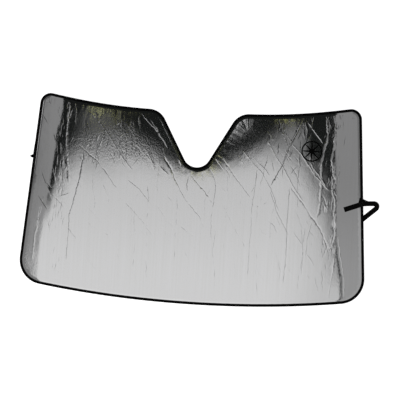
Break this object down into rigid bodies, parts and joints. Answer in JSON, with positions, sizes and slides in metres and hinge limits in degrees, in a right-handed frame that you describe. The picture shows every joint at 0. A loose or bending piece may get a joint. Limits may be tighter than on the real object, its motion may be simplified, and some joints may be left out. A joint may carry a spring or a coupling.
{
  "type": "windscreen sunshade",
  "caption": "Flexible reflective foil windscreen sunshade with a bound edge, a V-shaped notch for the mirror and an elastic closing strap, lying flat.",
  "frame": {"origin": "middle of the sheet's back, on the surface it lies on", "axes": "+X across the windscreen towards the strap, +Y towards the mirror notch, +Z out of the foil face, up"},
  "size_m": [1.4428, 0.8237, 0.0145],
  "materials": {
    "foil": "bright aluminised film over soft foam, wrinkled",
    "tape": "matt woven polyester binding tape",
    "elastic": "matt knitted elastic",
    "hook": "matt nylon hooks",
    "loop": "matt brushed nylon loops",
    "ink": "satin black print"
  },
  "bodies": {
    "root": {"foil_foam_sheet": "foil", "edge_binding_tape": "tape", "elastic_strap": "elastic", "hook_patch": "hook", "loop_patch": "loop", "sunburst_mark": "ink"}
  },
  "joints": []
}
